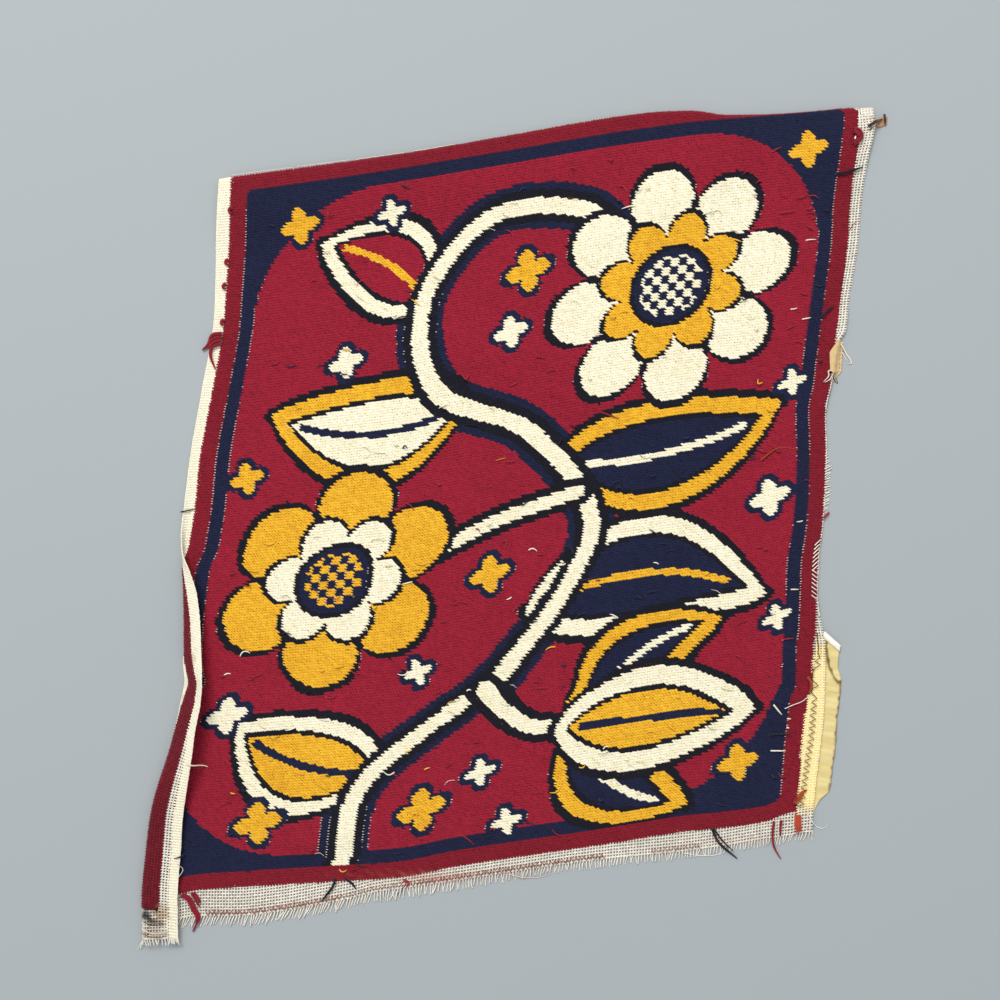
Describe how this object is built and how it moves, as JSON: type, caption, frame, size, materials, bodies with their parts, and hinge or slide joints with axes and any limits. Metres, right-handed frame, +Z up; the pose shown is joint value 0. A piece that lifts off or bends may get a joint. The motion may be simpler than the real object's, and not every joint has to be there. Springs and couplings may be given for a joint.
{
  "type": "needlepoint tapestry",
  "caption": "Unframed wool needlepoint lying reverse side up on open canvas, with one margin turned under, one folded over, frayed edges and remnants of lining tape.",
  "frame": {"origin": "centre of the footprint, on the surface it lies on", "axes": "+Z up off the surface, +Y towards the edge that is turned under, +X towards the side with the lining tape"},
  "size_m": [0.477, 0.5364, 0.0177],
  "materials": {
    "wool_work": "crimson, navy, cream and gold tapestry wool in tent stitch, matt and slightly hairy",
    "yellow_tape": "thin yellow lining tape with a dull satin face",
    "tan_tape": "worn tan lining tape",
    "canvas_thread": "stiffened cream cotton canvas thread"
  },
  "bodies": {
    "root": {"worked_canvas": "wool_work", "lower_tape": "yellow_tape", "middle_tape": "tan_tape", "corner_scrap": "tan_tape", "bottom_fray": "canvas_thread", "flap_fray": "canvas_thread", "right_fray": "canvas_thread"}
  },
  "joints": []
}
